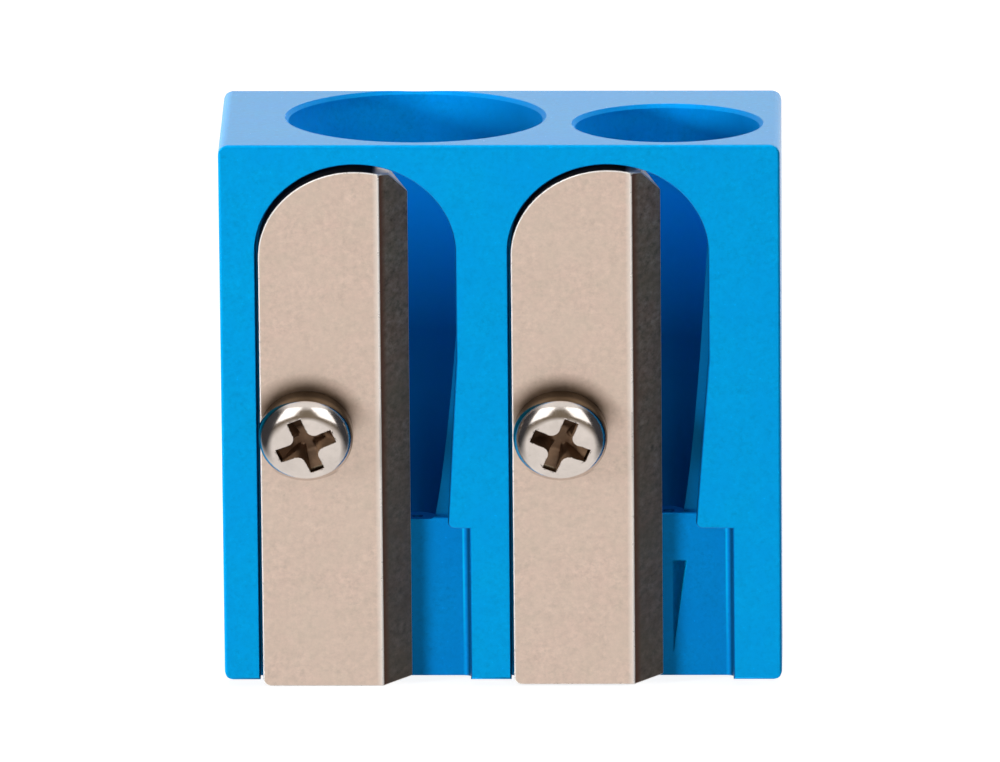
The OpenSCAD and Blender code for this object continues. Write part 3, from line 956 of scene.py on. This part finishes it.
def make_blade(p, name, x, end_gap, finishes):
    """One blade, ground to its cutting edge along the right side, its edges broken.

    The finishes are those of its flat, its bevel, its rounded edges and its flanks.
    """
    b, k, s = p.b, p.k, p.s
    r = p.pocket_w / 2 - k.gap
    made = prism(name, blade_outline(p, r), 0, k.thickness, Matrix())
    grind = Vector((k.thickness, 0, k.bevel_w)).normalized()
    bm = bmesh.new()
    bm.from_mesh(made.data)
    whole, start = bm.verts[:] + bm.edges[:] + bm.faces[:], (k.width - k.honed, 0, 0)
    cut = bmesh.ops.bisect_plane(bm, geom=whole, plane_co=start, plane_no=grind, clear_outer=True)
    ring = [e for e in cut["geom_cut"] if isinstance(e, bmesh.types.BMEdge)]
    bmesh.ops.contextual_create(bm, geom=ring)
    bmesh.ops.recalc_face_normals(bm, faces=bm.faces[:])
    bm.to_mesh(made.data)
    bm.free()

    def radius_of(edge):
        if min(v.co.x for v in edge.verts) > k.width - 10 * NEAR:
            return k.honed_r
        line_x = k.width - k.bevel_w - 5 * NEAR
        on_line = all(v.co.z > k.thickness - NEAR and v.co.x > line_x for v in edge.verts)
        return k.glint_r if on_line else k.edge_r

    break_edges(made, radius_of, segments=3)
    hole_r, rim = s.thread_d / 2 + s.blade_play, k.edge_r
    profile = [(0, -1), (hole_r + rim, -1), (hole_r + rim, 0), (hole_r, rim), (hole_r, k.thickness - rim),
               (hole_r + rim, k.thickness), (hole_r + rim, k.thickness + 1), (0, k.thickness + 1)]
    carve(made, lathe("BladeHole", profile, 72, Matrix.Translation((p.hole_in, -p.hole_down, 0))))
    made.data.materials.clear()
    for finish in finishes:
        made.data.materials.append(finish)
    flat, bevel, rounded, flank = range(4)
    same, raised = 0.995, 0.3
    # rounded edges that face up take the blade edge finish, partly polish and partly a painted highlight
    for face in made.data.polygons:
        n = face.normal
        if n.dot(grind) >= same:
            face.material_index = bevel
        elif n.z >= same:
            face.material_index = flat
        else:
            face.material_index = rounded if n.z > raised else flank
    across = made.data.attributes.new(ACROSS, "FLOAT", "POINT")
    for i, v in enumerate(made.data.vertices):
        across.data[i].value = (v.co.x - k.width + k.bevel_w) / k.bevel_w
    made.data.transform(p.face @ Matrix.Translation((x + k.gap, -b.pocket_drop - end_gap, -b.seat_depth)))
    return made


class SHARPENER_OT_blades(bpy.types.Operator):
    """Makes the two blades on their seats"""

    bl_idname = "sharpener.blades"
    bl_label = "Make the blades"

    def execute(self, context):
        p = plan(context.scene)
        f = context.scene.sharpener_finish
        screws = [screw_place(p, x, inset).translation * MM
                  for x, inset in ((p.left_x, p.s.left_in), (p.right_x, p.s.right_in))]
        finishes = (
            steel_finish(f, "Blade flat steel", f.steel, screws=screws),
            bevel_finish(f),
            steel_finish(f, "Blade edge steel", f.glint, 0.25, 0.4),
            steel_finish(f, "Blade flank steel", f.flank, 0.4),
        )
        for side, x, gap in (("left", p.left_x, p.k.left_end_gap), ("right", p.right_x, p.k.right_end_gap)):
            made = make_blade(p, side.title() + "Blade", x, gap, finishes)
            polish(made, side + "_blade_body", side + "_blade")
        return {"FINISHED"}


def cross_ring(span, arm, fillet, z):
    """Outline of a cross with round metal corners between its arms, at a height."""
    points = []
    for quarter in range(4):
        part = [(span, -arm), (span, arm)] + arc(arm + fillet, arm + fillet, fillet, 270, 180, 8)
        turn = Matrix.Rotation(math.pi / 2 * quarter, 2)
        points += [turn @ Vector(point) for point in part]
    return [(v[0], v[1], z) for v in points]


def make_screw(p, name, x, inset, turn, nickel, recess_brown, wall):
    """One screw: pan head with a cross recess on a threaded shank."""
    s = p.s
    r, crown, lip = s.head_d / 2, s.crown_d / 2, s.lip_r
    shoulder_h = s.head_h - s.crown_rise - s.rim_h
    profile = [(0, 0), (r - lip, 0)] + arc(r - lip, lip, lip, -90, 0, 4)
    profile += [(crown + (r - crown) * math.cos(t), s.rim_h + shoulder_h * math.sin(t))
                for t in (math.radians(a) for a in range(0, 90, 5))]
    profile += [(crown * (1 - i / 8), s.head_h - s.crown_rise * (1 - i / 8) ** 2) for i in range(9)]
    made = lathe(name, profile, 96)
    inside, plain, end = 0.3, p.k.thickness * 0.35, 0.35
    add_thread(made, nickel, top=inside, length=inside + s.shank, core=s.thread_d / 2 - s.thread_depth,
               depth=s.thread_depth, pitch=s.pitch, thread_top=-plain, thread_foot=end - s.shank, tip=s.tip,
               facets=s.thread_facets)
    span, arm, low = s.cross_span / 2, s.cross_arm / 2, s.head_h - s.cross_depth
    # the recess's span, arm, fillet and height, from above the head down to its foot
    rings = [cross_ring(span * wide, arm * thick, s.cross_fillet * round_, z) for wide, thick, round_, z in (
        (1.05, 1.05, 1.0, s.head_h + 0.2),
        (0.93, 0.94, 1.0, s.head_h - 0.35),
        (0.55, 0.75, 0.5, low + 0.1),
        (0.3, 0.5, 0.3, low),
    )]
    cross = loft("Cross", rings, Matrix.Rotation(turn, 4, "Z"))
    cross.data.materials.append(recess_brown)
    carve(made, cross)
    clean(made, weld=0.001)
    mouth = s.head_h - 0.25

    def radius_of(edge):
        at_mouth = min(v.co.z for v in edge.verts) > mouth and edge.calc_length() > NEAR
        return s.cross_edge if at_mouth else 0

    break_edges(made, radius_of, segments=2, sharper_than=35)
    made.data.materials.append(wall)
    # painted reflection: the head's steep side and its rim take the darker plating
    for face in made.data.polygons:
        beyond, z = face.center.xy.length, face.center.z
        steep = beyond > crown and abs(face.normal.z) < 0.45
        on_rim = beyond > r - lip / 2 and z < s.rim_h + 0.12
        if z > 0 and (steep or on_rim):
            face.material_index = len(made.data.materials) - 1
    made.data.transform(screw_place(p, x, inset))
    return made


class SHARPENER_OT_screws(bpy.types.Operator):
    """Makes the two cross-recess screws with their threads"""

    bl_idname = "sharpener.screws"
    bl_label = "Make the screws"

    def execute(self, context):
        p = plan(context.scene)
        f = context.scene.sharpener_finish
        finishes = (nickel_finish("Nickel plating", f.nickel), recess_brown_finish(f),
                    nickel_finish("Tarnished plating", f.tarnish))
        for side, x, inset, turn in (("left", p.left_x, p.s.left_in, p.s.left_turn),
                                     ("right", p.right_x, p.s.right_in, p.s.right_turn)):
            made = make_screw(p, side.title() + "Screw", x, inset, turn, *finishes)
            polish(made, side + "_screw_body", side + "_screw")
        return {"FINISHED"}


# ---------------------------------------------------------------- stage


def by_ray(tree, ray, others, these):
    """A shader for the rays of one kind and another for all the others."""
    path = tree.nodes.new("ShaderNodeLightPath")
    return tree_node(tree, "ShaderNodeMixShader", {0: path.outputs[ray], 1: others, 2: these}).outputs[0]


def floor_finish(glow):
    """Pale floor that shows white to the camera and keeps the sharpener's shadow."""
    made, tree, shader, place = new_material("Pale floor")
    mottled = tint(tree, noise(tree, place, 30.0), (0.28, 0.28, 0.28), (0.3, 0.3, 0.3))
    tree.links.new(mottled, shader.inputs["Base Color"])
    shader.inputs["Roughness"].default_value = 0.9
    shader.inputs["Specular IOR Level"].default_value = 0.0
    light = tree_node(tree, "ShaderNodeEmission", {"Color": (1, 1, 1, 1), "Strength": glow})
    both = tree_node(tree, "ShaderNodeAddShader", {0: shader.outputs[0], 1: light.outputs[0]})
    seen = by_ray(tree, "Is Camera Ray", shader.outputs[0], both.outputs[0])
    tree.links.new(seen, tree.nodes["Material Output"].inputs["Surface"])
    return made


def studio_world(ambient):
    """White to the camera, even light on matt surfaces, and a studio with dark sides for metal to mirror."""
    world = bpy.data.worlds.new("Studio")
    world.use_nodes = True
    tree = world.node_tree
    tree.nodes.clear()

    def background(shade, strength):
        return tree_node(tree, "ShaderNodeBackground", {"Color": shade, "Strength": strength}).outputs[0]

    place = tree.nodes.new("ShaderNodeTexCoord").outputs["Generated"]
    x, y, z = tree_node(tree, "ShaderNodeSeparateXYZ", {0: place}).outputs
    aside = spread(tree, math_node(tree, "ABSOLUTE", x), 0.55, 0.85)
    level = times(tree, spread(tree, z, -0.55, -0.25), spread(tree, z, 0.75, 0.35))
    between_lamps = times(tree, spread(tree, y, 0.0, -0.3), level)
    shade = tint(tree, between_lamps, (1.0, 0.97, 0.94), (0.22, 0.18, 0.13))
    shade = tint(tree, aside, shade, (0.05, 0.05, 0.055))
    white = (1, 1, 1, 1)
    seen = by_ray(tree, "Is Glossy Ray", background(white, ambient), background(shade, 1.0))
    seen = by_ray(tree, "Is Camera Ray", seen, background(white, 1.0))
    tree.links.new(seen, tree.nodes.new("ShaderNodeOutputWorld").inputs["Surface"])
    return world


def backwards(azimuth, elevation):
    """The direction from the sharpener towards a camera or lamp; an azimuth of 0 is in front."""
    flat = math.cos(elevation)
    return Vector((math.sin(azimuth) * flat, -math.cos(azimuth) * flat, math.sin(elevation)))


def add_lamp(name, azimuth, elevation, distance, width, height, radiance, mirrored, aim):
    """A soft rectangular lamp facing the aim, either for metal to mirror or for matt surfaces alone."""
    light = bpy.data.lights.new(name, "AREA")
    light.shape, light.size, light.size_y = "RECTANGLE", width, height
    light.energy = radiance * math.pi * width * height
    made = bpy.data.objects.new(name, light)
    away = backwards(math.radians(azimuth), math.radians(elevation))
    made.location = aim + away * distance
    made.rotation_euler = away.to_track_quat("Z", "Y").to_euler()
    made.visible_camera = False
    made.visible_glossy, made.visible_diffuse = mirrored, not mirrored
    bpy.context.scene.collection.objects.link(made)
    return made


def add_floor(glow, level, half):
    """A square floor at a level, reaching half its width to each side."""
    bm = bmesh.new()
    corners = ((-half, -half), (half, -half), (half, half), (-half, half))
    bm.faces.new([bm.verts.new((x, y, level)) for x, y in corners])
    floor = link("Floor", bm)
    if floor.data.polygons[0].normal.z < 0:
        floor.data.flip_normals()
    floor.data.materials.append(floor_finish(glow))
    floor.visible_glossy = False
    return floor


def add_camera(v, aim):
    """The camera that the stage's settings describe, turned to the aim."""
    back = backwards(v.azimuth, v.elevation)
    right = (-back).cross(Vector((0, 0, 1))).normalized()
    up = right.cross(-back)
    cos, sin = math.cos(v.roll), math.sin(v.roll)
    right, up = right * cos + up * sin, up * cos - right * sin
    camera = bpy.data.cameras.new("Camera")
    camera.sensor_width = 36
    camera.lens = camera.sensor_width * v.distance / v.span
    camera.clip_start, camera.clip_end = 0.1, 20
    made = bpy.data.objects.new("Camera", camera)
    place = Matrix((right, up, back)).transposed().to_4x4()
    place.translation = aim + right * v.aside + up * v.raise_aim + back * v.distance
    made.matrix_world = place
    bpy.context.scene.collection.objects.link(made)
    return made


class SHARPENER_OT_stage(bpy.types.Operator):
    """Sets the floor, the lamps, the world and the camera"""

    bl_idname = "sharpener.stage"
    bl_label = "Set the stage"

    def execute(self, context):
        scene = context.scene
        v = scene.sharpener_stage
        aim = Vector((0, 0, scene.sharpener_body.body_h / 2))
        add_floor(v.glow, CAD_BOX[0].z - 0.00001, 3.0)
        # name, azimuth, elevation, distance, width, height, radiance, mirrored
        for lamp in (
            ("LeftLamp", -33, 19, 0.55, 0.36, 0.46, v.front_lamps, True),
            ("RightLamp", 33, 19, 0.55, 0.36, 0.46, v.front_lamps, True),
            ("SideLamp", -62, 5, 0.7, 0.08, 0.16, v.side_lamp, False),
            ("TopLamp", 0, 80, 0.8, 0.4, 0.4, v.top_lamp, False),
            ("FillLamp", 97, 10, 0.7, 0.2, 0.4, v.fill_lamp, False),
            ("BackLamp", 180, 6, 0.8, 0.4, 0.4, v.back_lamp, False),
        ):
            add_lamp(*lamp, aim)
        scene.world = studio_world(v.ambient)
        scene.camera = add_camera(v, aim)
        scene.view_settings.view_transform = "Standard"
        return {"FINISHED"}


class SHARPENER_PT_panel(bpy.types.Panel):
    """Lists the sharpener's sizes, colours and steps"""

    bl_idname = "SHARPENER_PT_panel"
    bl_label = "Wedge Pencil Sharpener"
    bl_space_type = "VIEW_3D"
    bl_region_type = "UI"
    bl_category = "Sharpener"

    def draw(self, context):
        for step in STEPS:
            self.layout.operator(step.bl_idname)
        for name, kind in GROUPS.items():
            box = self.layout.box()
            box.label(text=kind.__doc__)
            for key in kind.__annotations__:
                box.prop(getattr(context.scene, name), key)


GROUPS = {
    "sharpener_body": BodySizes,
    "sharpener_blade": BladeSizes,
    "sharpener_screw": ScrewSizes,
    "sharpener_finish": Finishes,
    "sharpener_stage": StageSettings,
}
STEPS = (SHARPENER_OT_body, SHARPENER_OT_blades, SHARPENER_OT_screws, SHARPENER_OT_stage)


def register():
    for kind in (*GROUPS.values(), *STEPS, SHARPENER_PT_panel):
        bpy.utils.register_class(kind)
    for name, kind in GROUPS.items():
        setattr(bpy.types.Scene, name, PointerProperty(type=kind))


def unregister():
    for name in GROUPS:
        delattr(bpy.types.Scene, name)
    for kind in (SHARPENER_PT_panel, *reversed(STEPS), *reversed(GROUPS.values())):
        bpy.utils.unregister_class(kind)


def main():
    register()
    bpy.ops.sharpener.body()
    bpy.ops.sharpener.blades()
    bpy.ops.sharpener.screws()
    bpy.ops.sharpener.stage()


if __name__ == "__main__":
    main()
